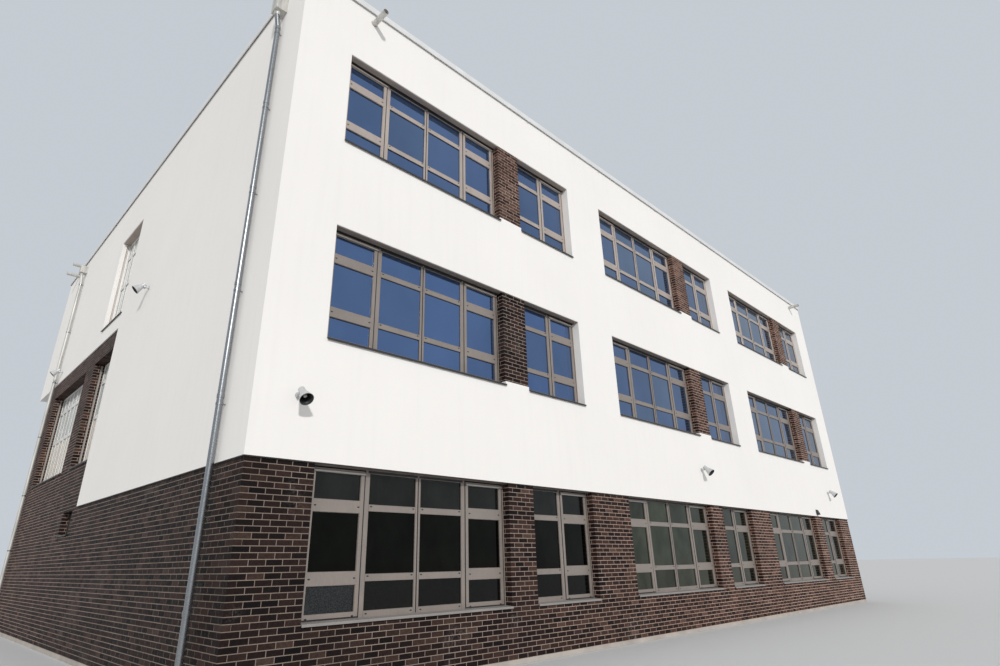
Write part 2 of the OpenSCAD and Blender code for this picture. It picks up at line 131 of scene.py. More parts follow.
def putPiece(name, parts, material, smooth=False, stands=None):
    # joins the parts into one mesh, with each point's tone kept as a colour
    counts = np.cumsum([0] + [len(p[0]) for p in parts])
    verts = np.concatenate([p[0] for p in parts])
    quads = np.concatenate([p[1] + n for p, n in zip(parts, counts)])
    tones = np.concatenate([p[2] for p in parts])
    mesh = bpy.data.meshes.new(name)
    mesh.vertices.add(len(verts))
    mesh.vertices.foreach_set("co", verts.astype(np.float32).ravel())
    mesh.loops.add(quads.size)
    mesh.loops.foreach_set("vertex_index", quads.astype(np.int32).ravel())
    mesh.polygons.add(len(quads))
    mesh.polygons.foreach_set("loop_start", np.arange(0, quads.size, 4, dtype=np.int32))
    mesh.polygons.foreach_set("use_smooth", np.full(len(quads), smooth))
    mesh.update(calc_edges=True)
    attribute = mesh.attributes.new("tone", "FLOAT_COLOR", "POINT")
    attribute.data.foreach_set("color", tones.astype(np.float32).ravel())
    mesh.materials.append(material)
    piece = intoScene(name, mesh)
    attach(piece, "root")
    if stands:
        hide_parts(*stands)
    print("made", name, len(quads), "faces")
    return piece


def newFinish(name, rough, metal=0.0, gloss=0.5):
    # an empty material with its shader set, ready for colour and bump, and the place on the object
    material = bpy.data.materials.new(name)
    material.use_nodes = True
    tree = material.node_tree
    shader = tree.nodes["Principled BSDF"]
    shader.inputs["Roughness"].default_value = rough
    shader.inputs["Metallic"].default_value = metal
    shader.inputs["Specular IOR Level"].default_value = gloss
    return material, tree.nodes.new("ShaderNodeTexCoord").outputs["Object"]


def added(kind, source, socket="Vector", settings=()):
    # a new node that reads the source, in the same tree, with its other inputs set
    tree = source.id_data
    node = tree.nodes.new(kind)
    for name, value in settings:
        node.inputs[name].default_value = value
    tree.links.new(source, node.inputs[socket])
    return node


def stretched(place, scale):
    return added("ShaderNodeMapping", place, settings=[("Scale", scale)]).outputs["Vector"]


def cloud(place, scale, detail=4.0, rough=0.55):
    settings = [("Scale", scale), ("Detail", detail), ("Roughness", rough)]
    return added("ShaderNodeTexNoise", place, settings=settings).outputs["Fac"]


def cells(place, scale):
    return added("ShaderNodeTexVoronoi", place, settings=[("Scale", scale)]).outputs


def channels(colour):
    return added("ShaderNodeSeparateColor", colour, "Color").outputs


def axes(place):
    return added("ShaderNodeSeparateXYZ", place).outputs


def toneOf(place):
    node = place.id_data.nodes.new("ShaderNodeAttribute")
    node.attribute_name = "tone"
    return channels(node.outputs["Color"])


def ramp(amount, stops):
    # stops are pairs of a place from 0 to 1 and a colour or a grey
    node = added("ShaderNodeValToRGB", amount, "Fac")
    band = node.color_ramp
    while len(band.elements) < len(stops):
        band.elements.new(0.5)
    for element, (where, colour) in zip(band.elements, stops):
        element.position = where
        element.color = (*colour, 1) if isinstance(colour, tuple) else (colour, colour, colour, 1)
    return node.outputs["Color"]


def feed(sockets, values):
    # links each socket to its value where that is a socket too, and sets it otherwise
    for socket, value in zip(sockets, values):
        if isinstance(value, bpy.types.NodeSocket):
            value.id_data.links.new(value, socket)
        else:
            socket.default_value = (*value, 1) if isinstance(value, tuple) else value


def blend(amount, first, second, mode="MIX"):
    values = (amount, first, second)
    tree = next(v.id_data for v in values if isinstance(v, bpy.types.NodeSocket))
    node = tree.nodes.new("ShaderNodeMix")
    node.data_type = "RGBA"
    node.blend_type = mode
    feed((node.inputs[0], node.inputs[6], node.inputs[7]), values)
    return node.outputs[2]


def shaded(amount, colour, pattern, stops):
    # the colour times a ramp of the pattern, in part where the amount is below 1
    return blend(amount, colour, ramp(pattern, stops), "MULTIPLY")


def sums(how, first, second):
    node = first.id_data.nodes.new("ShaderNodeMath")
    node.operation = how
    feed(node.inputs, (first, second))
    return node.outputs[0]


def layered(first, second, share):
    # first + share times second
    return sums("ADD", first, sums("MULTIPLY", second, share))


def surfaced(material, colour, height, depth, strength, rough=None):
    # gives the shader its colour, its bump and, where it varies, its roughness
    shader = material.node_tree.nodes["Principled BSDF"].inputs
    bump = added("ShaderNodeBump", height, "Height", [("Distance", depth), ("Strength", strength)])
    feed((shader["Normal"], shader["Base Color"]), (bump.outputs["Normal"], colour))
    if rough is not None:
        feed([shader["Roughness"]], [rough])
    return material


# painted shade of trees and painted sunlight on the bricks and the mortar
paintedShadeKit = {
    "alongSide": 0.6, "overhead": 1.6, "overheadFrom": 7.4, "reach": 25.0, "ragged": 0.06,
    "shades": [(0.03, 0.47), (0.13, 0.57), (0.25, (0.70, 0.68, 0.68)), (0.40, (0.97, 0.90, 0.88)),
               (0.55, (1.18, 1.06, 1.02)), (0.97, (1.50, 1.33, 1.25))],
}


def paintedTreeShade(place):
    # painted tree shade and sunlight, darkest at the left front corner: the shade goes by (way along the
    # front
    # + 0.6 times the way along the side + 1.6 times the height above 7.4) / 25, with a ragged edge; far off
    #   it is painted lighter
    x, y, z = axes(place)
    alongFront = sums("ADD", x, plan["length"] / 2)
    alongSide = sums("ADD", y, plan["lowerDepth"] / 2)
    overhead = sums("MAXIMUM", sums("SUBTRACT", z, paintedShadeKit["overheadFrom"]), 0.0)
    away = layered(layered(alongFront, alongSide, paintedShadeKit["alongSide"]), overhead, paintedShadeKit["overhead"])
    away = sums("DIVIDE", away, paintedShadeKit["reach"])
    return ramp(layered(away, cloud(place, 0.8), paintedShadeKit["ragged"]), paintedShadeKit["shades"])


def plasterFinish(name, white):
    # scraped render: a warm white, very faint clouds and streaks, fine grain
    material, place = newFinish(name, 0.88, gloss=0.25)
    streak = cloud(stretched(place, (7.0, 7.0, 0.35)), 1.0, 6, 0.6)
    colour = shaded(1.0, white, cloud(place, 0.35, 5), [(0.3, 0.965), (0.7, 1.0)])
    colour = shaded(0.4, colour, streak, [(0.50, 1.0), (0.80, 0.93)])
    colour = shaded(0.10, colour, cells(place, 260.0)["Distance"], [(0.0, 0.72), (0.5, 1.0)])
    fine = layered(cloud(place, 420.0, 3), cloud(place, 5.0, 3), 0.8)
    return surfaced(material, colour, fine, 0.0014, 0.4)


def brickFinish():
    # fired clinker: each brick has its own tone, with fire marks, pale bloom and a rough skin
    material, place = newFinish("clinkerBrick", 0.62, gloss=0.12)
    marks = cloud(place, 22.0, 6, 0.65)
    colour = ramp(toneOf(place)[0], [
        (0.0, (0.009, 0.006, 0.007)), (0.30, (0.023, 0.013, 0.012)), (0.60, (0.046, 0.025, 0.021)),
        (0.85, (0.079, 0.045, 0.036)), (1.0, (0.122, 0.078, 0.063))])
    colour = shaded(0.75, colour, marks, [(0.32, 0.50), (0.55, 1.0), (0.75, 1.6)])
    bloom = sums("MULTIPLY", ramp(cloud(place, 0.9, 5), [(0.60, 0.0), (0.74, 1.0)]),
                 ramp(cloud(place, 30.0, 5), [(0.45, 0.0), (0.65, 0.5)]))
    colour = blend(bloom, colour, (0.34, 0.30, 0.27))
    # painted tree shade and sunlight multiplied in, darkest at the left front corner
    colour = blend(1.0, colour, paintedTreeShade(place), "MULTIPLY")
    skin = layered(marks, cloud(place, 160.0), 0.6)
    return surfaced(material, colour, skin, 0.003, 0.8, ramp(marks, [(0.3, 0.45), (0.7, 0.80)]))


def mortarFinish():
    # sanded joint mortar, lighter where it is dry, with painted tree shade darkest at the left front corner
    material, place = newFinish("jointMortar", 0.9, gloss=0.2)
    colour = ramp(cloud(place, 1.3, 6, 0.6), [
        (0.30, (0.38, 0.300, 0.25)), (0.52, (0.50, 0.400, 0.335)), (0.75, (0.61, 0.50, 0.42))])
    colour = shaded(0.35, colour, cloud(place, 90.0), [(0.35, 0.6), (0.65, 1.2)])
    # painted tree shade and sunlight multiplied in
    colour = blend(1.0, colour, paintedTreeShade(place), "MULTIPLY")
    return surfaced(material, colour, cloud(place, 300.0), 0.002, 0.7)


def concreteFinish(name, grey):
    # cast concrete: cloudy grey, small pores darkened as painted shade and a slightly uneven face
    material, place = newFinish(name, 0.88)
    colour = shaded(1.0, grey, cloud(place, 1.6, 6, 0.6), [(0.3, 0.78), (0.7, 1.1)])
    pores = ramp(cells(place, 70.0)["Distance"], [(0.04, 0.55), (0.13, 1.0)])
    # painted shade in the pores
    colour = blend(0.6, colour, pores, "MULTIPLY")
    return surfaced(material, colour, sums("ADD", cloud(place, 40.0, 5), pores), 0.003, 0.6)


def gravelFinish():
    # washed gravel on the roof: pebbles of mixed greys, the gaps between them darkened as painted shade
    material, place = newFinish("roofGravel", 0.92)
    pebble = cells(place, 26.0)
    colour = ramp(channels(pebble["Color"])[0], [
        (0.0, (0.20, 0.19, 0.18)), (0.5, (0.33, 0.32, 0.30)), (1.0, (0.47, 0.45, 0.42))])
    gaps = ramp(pebble["Distance"], [(0.35, 1.0), (0.75, 0.45)])
    # painted shade in the gaps
    colour = blend(1.0, colour, gaps, "MULTIPLY")
    colour = shaded(0.5, colour, cloud(place, 0.4, 5), [(0.35, 0.7), (0.65, 1.05)])
    return surfaced(material, colour, gaps, 0.012, 0.9)


def metalFinish(name, colour, rough, metal, brushed, wear=0.5, topPaintedLight=1.0):
    # folded or drawn sheet: fine lines the way it was drawn, dull patches, faint dents.
    # The uppermost row is painted lighter, as sunlit where the rows below lie in tree shade: the colour is
    # multiplied by the top row's painted-light factor from z = 8.9 up
    material, place = newFinish(name, rough, metal)
    lines = cloud(stretched(place, brushed), 1.0, 5, 0.6)
    patch = cloud(place, 2.2, 5, 0.6)
    height = sums("DIVIDE", axes(place)[2], 12.7)
    shade = shaded(0.35, colour, lines, [(0.3, 0.82), (0.7, 1.12)])
    shade = shaded(wear, shade, patch, [(0.35, 0.80), (0.68, 1.05)])
    # painted light: lighter from z = 8.9 up
    shade = shaded(1.0, shade, height, [(0.55, 1.0), (0.70, topPaintedLight)])
    sheen = ramp(patch, [(0.3, rough * 0.8), (0.7, min(1.0, rough * 1.35))])
    return surfaced(material, shade, layered(lines, patch, 2.0), 0.0006, 0.5, sheen)


def zincFinish():
    # hot-dip galvanising: grey spangles with darker run marks down the pipe
    material, place = newFinish("galvanisedZinc", 0.30, 0.9)
    spangle = channels(cells(place, 75.0)["Color"])
    colour = ramp(spangle[0], [(0.0, (0.27, 0.285, 0.30)), (1.0, (0.32, 0.335, 0.35))])
    runs = cloud(stretched(place, (30.0, 30.0, 1.2)), 1.0, 5, 0.6)
    colour = shaded(0.4, colour, runs, [(0.35, 0.68), (0.6, 1.08)])
    return surfaced(material, colour, runs, 0.0008, 0.4, ramp(spangle[1], [(0.0, 0.22), (1.0, 0.30)]))


def paleZincFinish():
    # weathered zinc sheet: pale warm grey, dull, with darker runs
    material, place = newFinish("paleZinc", 0.5, 0.35)
    runs = cloud(stretched(place, (14.0, 14.0, 1.5)), 1.0, 5, 0.6)
    colour = ramp(runs, [(0.32, (0.42, 0.41, 0.385)), (0.6, (0.62, 0.61, 0.575))])
    return surfaced(material, colour, runs, 0.0008, 0.4)


def glassFinish(name, stops, mottle, depth, frost):
    # panes: a mirror tint of its own for each pane that paints in the sky and trees they reflect, patches of
    # painted reflection, faint dust, specks where a pane is frosted
    material, place = newFinish(name, 0.05, 0.86)
    tone, plain = toneOf(place), (0.32, 0.32, 0.32)
    paintedReflectionPatches = cloud(stretched(place, (1.0, 1.0, 0.7)), mottle, 5, 0.6)
    # painted reflection: a tint by the pane's shade, mottled
    colour = shaded(depth, ramp(tone[0], stops), paintedReflectionPatches, [(0.32, 0.62), (0.5, 1.0), (0.72, 1.45)])
    speck = shaded(1.0, frost, cells(place, 60.0)["Distance"], [(0.2, 0.5), (0.7, 1.15)])
    dust = ramp(cloud(place, 7.0, 6, 0.7), [(0.45, 0.03), (0.75, 0.14)])
    tint, wavy = blend(tone[2], colour, speck), cloud(place, 1.1, 2)
    return surfaced(material, tint, wavy, 0.004, 0.2, blend(tone[2], dust, plain))


def sheetedFinish():
    # side panes: pale sheets behind the glass with soft folds painted in as shade, cream boards in the
    # lowest row
    material, place = newFinish("sheetedGlass", 0.07)
    tone = toneOf(place)
    foldShade = cloud(stretched(place, (1.0, 9.0, 0.25)), 1.0, 4, 0.5)
    sheet = ramp(tone[0], [
        (0.0, (0.40, 0.445, 0.44)), (0.6, (0.56, 0.59, 0.57)), (1.0, (0.80, 0.80, 0.78))])
    # painted shade of the folds
    sheet = shaded(0.5, sheet, foldShade, [(0.3, 0.80), (0.7, 1.06)])
    board = ramp(tone[1], [(0.0, (0.60, 0.54, 0.46)), (1.0, (0.76, 0.68, 0.58))])
    board = shaded(0.4, board, cloud(place, 3.0), [(0.3, 0.86), (0.7, 1.04)])
    return surfaced(material, blend(tone[2], sheet, board), cloud(place, 1.1, 2), 0.003, 0.2)


def rubberFinish():
    # black seal rubber, faintly clouded
    material, place = newFinish("sealRubber", 0.75)
    colour = ramp(cloud(place, 30.0), [(0.3, 0.010), (0.7, (0.028, 0.027, 0.026))])
    return surfaced(material, colour, cloud(place, 220.0, 3), 0.0006, 0.5)


def frostedFinish():
    # satin glass of the lamps, faintly clouded
    material, place = newFinish("frostedLamp", 0.35)
    colour = ramp(cloud(place, 25.0), [(0.3, (0.42, 0.42, 0.40)), (0.7, (0.58, 0.58, 0.55))])
    return surfaced(material, colour, cloud(place, 180.0, 3), 0.0008, 0.4)


finish = {
    "plaster": plasterFinish("whiteRender", (0.88, 0.862, 0.840)),
    # the overhang's soffit: white render painted dark grey-brown for the shade it lies in
    "soffit": plasterFinish("soffitPaintedShade", (0.36, 0.335, 0.31)),
    "brick": brickFinish(),
    "mortar": mortarFinish(),
    "concrete": concreteFinish("castConcrete", (0.50, 0.49, 0.46)),
    "footing": concreteFinish("footingRender", (0.46, 0.42, 0.38)),
    "gravel": gravelFinish(),
    "coping": metalFinish("copingSheet", (0.79, 0.79, 0.79), 0.42, 0.2, (3.0, 3.0, 60.0), wear=0.3),
    "dark": metalFinish("darkSheet", (0.045, 0.042, 0.041), 0.45, 0.3, (3.0, 3.0, 80.0)),
    # blinds, frames and hoods: their top row painted lighter, as sunlit
    "blind": metalFinish("blindSlats", (0.27, 0.232, 0.205), 0.5, 0.3, (2.0, 90.0, 2.0), topPaintedLight=1.6),
    "bronze": metalFinish("bronzeFrame", (0.305, 0.262, 0.235), 0.42, 0.3, (45.0, 45.0, 6.0), topPaintedLight=1.62),
    # pale alloy of the hoods and guide rails, lighter than the frames: partly a painted highlight for the
    # bright line along the hoods
    "alloy": metalFinish("hoodAlloy", (0.52, 0.485, 0.455), 0.34, 0.3, (4.0, 60.0, 60.0), 0.4, topPaintedLight=1.3),
    "sill": metalFinish("sillSheet", (0.33, 0.31, 0.295), 0.42, 0.25, (2.0, 60.0, 60.0)),
    "whiteFrame": metalFinish("whiteFrame", (0.80, 0.80, 0.78), 0.4, 0.0, (40.0, 40.0, 8.0), wear=0.4),
    "zinc": zincFinish(),
    "paleZinc": paleZincFinish(),
    "lamp": metalFinish("lampShell", (0.56, 0.57, 0.58), 0.4, 0.3, (40.0, 40.0, 40.0)),
    # the lamps' dark insides: painted shade
    "liner": metalFinish("lampInsideShade", (0.030, 0.030, 0.032), 0.5, 0.2, (40.0, 40.0, 40.0)),
    # upper panes: blue tints painted as the sky they reflect
    "skyReflectionGlass": glassFinish("upperGlass", [
        (0.0, (0.102, 0.174, 0.355)), (0.5, (0.107, 0.168, 0.300)), (1.0, (0.165, 0.225, 0.315))],
        0.5, 0.35, (0.20, 0.22, 0.26)),
    # ground panes: dark green-black tints painted as the trees they reflect
    "treeReflectionGlass": glassFinish("groundGlass", [
        (0.0, (0.0045, 0.0050, 0.0030)), (0.4, (0.026, 0.027, 0.024)), (1.0, (0.090, 0.100, 0.064))],
        2.4, 0.9, (0.052, 0.055, 0.055)),
    "sideGlass": sheetedFinish(),
    "rubber": rubberFinish(),
    "frosted": frostedFinish(),
}

coats = {
    "plaster": ["front_render_wall", "left_render_wall", "right_render_wall", "rear_render_wall"],
    "soffit": ["overhang_soffit"],
    "mortar": ["front_brick_wall", "left_brick_wall", "right_brick_wall", "rear_brick_wall",
               "upper_window_piers"],
    "concrete": ["ground_floor", "first_floor", "second_floor", "roof_slab"],
    "footing": ["footing_strip"],
    "gravel": ["roof_covering"],
    "coping": ["roof_coping"],
    "dark": ["render_drip_rail", "upper_window_sills", "rear_window_sills", "side_window_sills",
             "niche_panel", "wall_boxes"],
    "blind": ["blind_boxes"],
    "bronze": ["ground_window_frames", "first_window_frames", "second_window_frames", "rear_window_frames"],
    "sill": ["ground_window_sills"],
    "whiteFrame": ["hall_window_frames", "stair_window_frames"],
    "zinc": ["front_downpipes", "pipe_clamps"],
    "paleZinc": ["rear_downpipes", "rain_hoppers", "overflow_spouts"],
    "lamp": ["wall_lamps"],
    "frosted": ["lamp_bulbs"],
    "skyReflectionGlass": ["first_window_glass", "second_window_glass", "rear_window_glass"],
    "sideGlass": ["stair_window_glass", "hall_window_glass"],
    "treeReflectionGlass": ["ground_window_glass"],
}
for coat, nodes in coats.items():
    for nodeName in nodes:
        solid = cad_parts[nodeName]
        if not solid.material_slots:
            solid.data.materials.append(finish[coat])
        for place in solid.material_slots:
            place.material = finish[coat]
print("coated", sum(len(n) for n in coats.values()), "solids")

bond = {
    "course": plan["brickTop"] / plan["courses"], "half": 0.125, "joint": 0.011,
    "proud": 0.0022, "deep": 0.113, "sunk": 0.010, "chamfer": 0.0015,
    "header": 0.262,       # depth of a header in a deep jamb
    "infill": 0.05,        # width of the second brick behind it
    "sliver": 0.022,       # least height of a brick that is cut
    "uneven": 0.0006, "lean": 0.004, "leanLimits": (-0.0012, 0.0015),
    "tones": (1.6, 1.8),   # how the bricks' tones spread from dark to light
}


def brickHeights(rows, v0, v1):
    # bottom and top of the bricks of some rows, cut off at v0 and v1
    z0 = np.maximum(rows * bond["course"] + bond["joint"] / 2, v0)
    z1 = np.minimum((rows + 1) * bond["course"] - bond["joint"] / 2, v1)
    good = z1 - z0 > bond["sliver"]
    return z0[good], z1[good]


def bondStretch(u0, u1, v0, v1, ends, longRow=0, jambDeep=bond["deep"]):
    # bodies from u0 to u1 in half-brick steps, each row set off by half a brick.
    # An end is "corner", "jamb" or "flush": a corner leaves its headers to the other wall.
    course, joint, deep = bond["course"], bond["joint"], bond["deep"]
    count = max(1, round((u1 - u0 + joint) / bond["half"]))
    if ends == ("corner", "corner"):
        count += count % 2
    if ends[1] == "corner" and ends[0] != "corner":
        longRow += count
    step = (u1 - u0 + joint) / count
    rows = np.arange(math.floor(v0 / course + 1e-6), math.ceil(v1 / course - 1e-6))
    low, high, extra = [], [], []
    for odd in (0, 1):
        z0, z1 = brickHeights(rows[(rows + longRow) % 2 == odd], v0, v1)
        starts = np.arange(0, count, 2) if not odd else np.concatenate([[0], np.arange(1, count, 2)])
        stops = np.append(starts[1:], count)
        begin, end = u0 + starts * step, u0 + stops * step - joint
        short = (stops - starts) == 1
        depth = np.full(len(starts), bond["sunk"])
        keep = np.ones(len(starts), bool)
        for place, kind in ((0, ends[0]), (-1, ends[1])):
            if kind == "corner":
                depth[place] = deep
                keep[place] = not short[place]
            elif kind == "jamb":
                depth[place] = min(bond["header"] if short[place] else deep, jambDeep)
                reach = depth[place] + joint
                if jambDeep - reach > 0.01:  # room for a second brick in a deep jamb
                    side = begin[place] if place == 0 else end[place] - bond["infill"]
                    extra.append((pointsAt(side, reach, z0), pointsAt(side + bond["infill"], jambDeep, z1)))
        low.append(pointsAt(begin[keep], -bond["proud"], z0[:, None]).reshape(-1, 3))
        high.append(pointsAt(end[keep], depth[keep], z1[:, None]).reshape(-1, 3))
    return np.concatenate(low + [e[0] for e in extra]), np.concatenate(high + [e[1] for e in extra])


def brickTones(count, shift=0.0):
    # each brick's shade from dark to light, moved by the painted light or shade of its pier, and two chances
    # of its own
    shade = np.clip(rng.beta(*bond["tones"], count) + shift, 0, 1)
    return np.stack([shade, rng.random(count), rng.random(count), np.ones(count)], 1)


def brickBodies(low, high, face, shift=0.0):
    # a block whose front rim is cut back by a chamfer: three rings of four corners each.
    # The front leans by a small random angle, y = y + lean x + lean z.
    n, cut = len(low), bond["chamfer"]
    x = np.stack([low[:, 0], high[:, 0], high[:, 0], low[:, 0]], 1)
    z = np.stack([low[:, 2], low[:, 2], high[:, 2], high[:, 2]], 1)
    inX, inZ = np.array([cut, -cut, -cut, cut]), np.array([cut, cut, -cut, -cut])
    middle = (low + high) / 2
    lean = rng.normal(0, bond["lean"], (n, 1, 2))
    off = rng.normal(0, bond["uneven"], (n, 1))
    off = off + lean[..., 0] * (x - middle[:, :1]) + lean[..., 1] * (z - middle[:, 2:])
    back = pointsAt(x, high[:, 1:2], z)
    rim = pointsAt(x, low[:, 1:2] + cut, z)
    front = pointsAt(x + inX, low[:, 1:2] + np.clip(off, *bond["leanLimits"]), z + inZ)
    verts = np.stack([back, rim, front], 1).reshape(-1, 3)
    verts[:, 1] += face
    ring = np.arange(4)
    nxt = (ring + 1) % 4
    quads = np.concatenate([
        np.stack([ring, nxt, nxt + 4, ring + 4], 1), np.stack([ring + 4, nxt + 4, nxt + 8, ring + 8], 1),
        [[8, 9, 10, 11]], [[3, 2, 1, 0]]])
    return verts, copies(quads, 12, n), np.repeat(brickTones(n, shift), 12, 0)


def plainBodies(low, high):
    # the eight corners of each block, low and high in turn
    pick = np.array([[0, 0, 0], [1, 0, 0], [1, 1, 0], [0, 1, 0],
                     [0, 0, 1], [1, 0, 1], [1, 1, 1], [0, 1, 1]], bool)
    verts = np.where(pick[None], high[:, None], low[:, None]).reshape(-1, 3)
    quads = np.array([[0, 3, 2, 1], [4, 5, 6, 7], [0, 1, 5, 4], [1, 2, 6, 5], [2, 3, 7, 6], [3, 0, 4, 7]])
    return verts, copies(quads, 8, len(low))


def brickPart(wall, stretches, face, shift=0.0):
    low, high = (np.concatenate(ends) for ends in zip(*[bondStretch(*s) for s in stretches]))
    return partOn(wall, *brickBodies(low, high, face, shift))


def soldierPart(wall, u0, wide, z, top, deep):
    # upright bricks seen from below over a tall opening, one every course height
    count = round(wide / bond["course"])
    pitch, joint, face = wide / count, bond["joint"], plan["brickBack"]
    edge = u0 + pitch * np.arange(count) + joint / 2
    low = pointsAt(edge, face - bond["proud"], z - bond["proud"])
    high = pointsAt(edge + pitch - joint, face + deep, top - joint / 2)
    return partOn(wall, *plainBodies(low, high), np.repeat(brickTones(count), 8, 0))


# gaps that are left where the bricks meet something else
seat = {"sill": 0.002, "render": 0.003, "frame": 0.004, "lining": 0.012, "dripRail": 0.017}
twoX = plan["fourW"] + plan["pierW"]
bayX = plan["margin"] + plan["bayPitch"] * np.arange(plan["bays"])
# left edge, width and opening lights of each window in a row: the wide ones, then the narrow ones
rowWindows = [(x, plan["fourW"], (True, False, False, True)) for x in bayX]
rowWindows += [(x + twoX, plan["twoW"], (False, True)) for x in bayX]

p, back = bond["proud"], plan["brickBack"]
edge0, frontEnd, sideEnd = back - p, plan["length"] - back + p, plan["lowerDepth"] - back + p
footTop, topEdge = bond["course"], plan["brickTop"] - seat["dripRail"]
frontJamb = plan["recess"] - back - seat["frame"]
shallowJamb = plan["sideRecess"] - back - plan["nichePanel"] - seat["frame"]
deepJamb = plan["deepRecess"] - back - seat["frame"]
# heights of whole courses under and over the openings
nicheFoot, storeyTop, tallFoot, rearFoot, headTop = (n * bond["course"] for n in (29, 37, 50, 60, 86))


def windowBand(v0, v1):
    # the brick stretches left between the windows of one row
    holes = [(x, x + width) for x, width, opens in sorted(rowWindows)]
    starts = [edge0] + [h[1] - p for h in holes]
    stops = [h[0] + p for h in holes] + [frontEnd]
    kinds = ["corner"] + ["jamb"] * len(holes)
    return [(a, b, v0, v1, (k, m), 0, frontJamb) for a, b, k, m in zip(starts, stops, kinds, kinds[::-1])]


frontBricks = [(edge0, frontEnd, footTop, plan["groundSill"], ("corner", "corner"))]
frontBricks += windowBand(plan["groundSill"], topEdge)
putPiece("frontBricks", [brickPart("front", frontBricks, back)], finish["brick"])

gap = p + bond["joint"]
niche0, niche1 = plan["nicheY"], plan["nicheY"] + plan["nicheW"]
nicheTop, tallTop = plan["nicheZ"] + plan["nicheH"], plan["tallFirst"] + plan["tallH"]
step0, step1 = plan["stepY"] + seat["render"] - bond["joint"], plan["stepY"] + seat["render"]
stair0, stair1 = plan["stairY"] + p, plan["stairY"] + plan["stairW"] - p
hall0, hall1 = plan["hallY"] + p, plan["hallY"] + plan["hallW"] - p
sideBricks = [
    (edge0, sideEnd, footTop, nicheFoot, ("corner", "corner"), 1),
    (edge0, step0, nicheFoot, topEdge, ("corner", "flush"), 1),
    (step1, niche0 + p, nicheFoot, storeyTop, ("flush", "jamb"), 1, shallowJamb),
    (niche1 - p, sideEnd, nicheFoot, storeyTop, ("jamb", "corner"), 1, shallowJamb),
    (niche0 + gap, niche1 - gap, nicheFoot, plan["nicheZ"] - seat["sill"], ("flush", "flush"), 1),
    (niche0 + gap, niche1 - gap, nicheTop, storeyTop, ("flush", "flush"), 1),
    (step1, sideEnd, storeyTop, tallFoot, ("flush", "corner"), 1),
    (stair0 - 2 * bond["half"] + bond["joint"], stair0, tallFoot, headTop, ("flush", "jamb"), 1, deepJamb),
    (stair1, hall0, tallFoot, headTop, ("jamb", "jamb"), 1, deepJamb),
    (hall1, sideEnd, tallFoot, headTop, ("jamb", "corner"), 1, deepJamb),
    (step1, sideEnd, headTop, plan["raisedTop"] - seat["render"], ("flush", "corner"), 1),
]
# left edge, width, underside, top and depth of the upright bricks over each opening
soldiers = [
    (plan["stairY"], plan["stairW"], tallTop, headTop, deepJamb),
    (plan["hallY"], plan["hallW"], tallTop, headTop, deepJamb),
    (plan["nicheY"], plan["nicheW"], nicheTop, nicheTop + seat["lining"], shallowJamb),
]
for side in sides:
    parts = [brickPart(side, sideBricks, back)] + [soldierPart(side, *s) for s in soldiers]
    putPiece(side + "Bricks", parts, finish["brick"])

rearBricks = [(edge0, frontEnd, footTop, plan["groundSill"], ("corner", "corner"))]
rearBricks += windowBand(plan["groundSill"], storeyTop)
rearBricks += [(edge0, frontEnd, storeyTop, rearFoot, ("corner", "corner"))]
rearBricks += windowBand(rearFoot, headTop)
rearBricks += [(x + gap, x + width - gap, rearFoot, plan["firstSill"] - seat["sill"], ("flush", "flush"))
               for x, width, opens in rowWindows]
rearBricks += [(edge0, frontEnd, headTop, plan["raisedTop"] - seat["render"], ("corner", "corner"))]
putPiece("rearBricks", [brickPart("rearLow", rearBricks, back)], finish["brick"])


def pierStretches(sill):
    # the brick face of each pier, from its white foot to the window's head
    z0, z1 = sill + plan["pierFoot"] + seat["frame"], sill + plan["windowH"] - seat["sill"]
    deep = plan["recess"] - plan["pierBack"] - seat["frame"]
    return [(x + plan["fourW"] - seat["sill"], x + twoX + seat["sill"], z0, z1, ("jamb", "jamb"), 0, deep)
            for x in bayX]


# how much lighter or darker the bricks of each pier are painted, from left to right: painted sunlight on the
# second-floor piers and the two right first-floor piers, painted tree shade on the left first-floor pier
pierPaintedLight = {"firstSill": (-0.20, 0.06, 0.06), "secondSill": (0.26, 0.16, 0.16)}
pierParts = [brickPart("front", [stretch], plan["pierBack"], shift) for sill, shifts in pierPaintedLight.items()
             for stretch, shift in zip(pierStretches(plan[sill]), shifts)]
pierParts.append(brickPart("rearTop", pierStretches(plan["secondSill"]), plan["pierBack"]))
putPiece("pierBricks", pierParts, finish["brick"])

windowKit = {
    "lap": 0.012,            # how far a pane reaches under its bars
    "bulge": 0.0025,         # the soft roll of an insulated pane
    "paneHalf": 0.0105,      # half the thickness of a pane
    "rail": 0.8,             # an opening light's rails, in shares of its uprights
    "headRail": 0.85,
    "footLess": 0.008,       # how much lower the foot bar is than the uprights are wide
    "casement": 0.062,       # width of an opening frame
    "casementOut": 0.010,    # how far it stands out
    "broadRail": 1.6,        # height of its two rails, in shares of the bar
    "groove": 0.019,         # dark groove round it
    "into": 0.002,           # how far the trims reach into the frame
    "hairline": (0.0012, 0.001),   # half width and lift of the joint between a rail and an upright
    "coupled": 0.010, "coupledTall": 0.003,   # half the width of the joint between two lights
    "coupledEnds": (0.030, 0.056),   # how far that joint ends above the sill and below the head
    "stripOver": 0.030,      # how far a head strip passes the pane at both ends
    # drain caps: half length, half height and lift, then for fixed and for opening lights
    # the way in from the pane's edge and the ways down from it at the foot and at a rail
    "cap": (0.023, 0.011, 0.006), "capIn": (0.050, 0.030), "capDrop": ((0.038, 0.028), (0.052, 0.092)),
}
storeys = {
    "ground": (plan["groundSill"], plan["groundH"]),
    "first": (plan["firstSill"], plan["windowH"]),
    "second": (plan["secondSill"], plan["windowH"]),
}
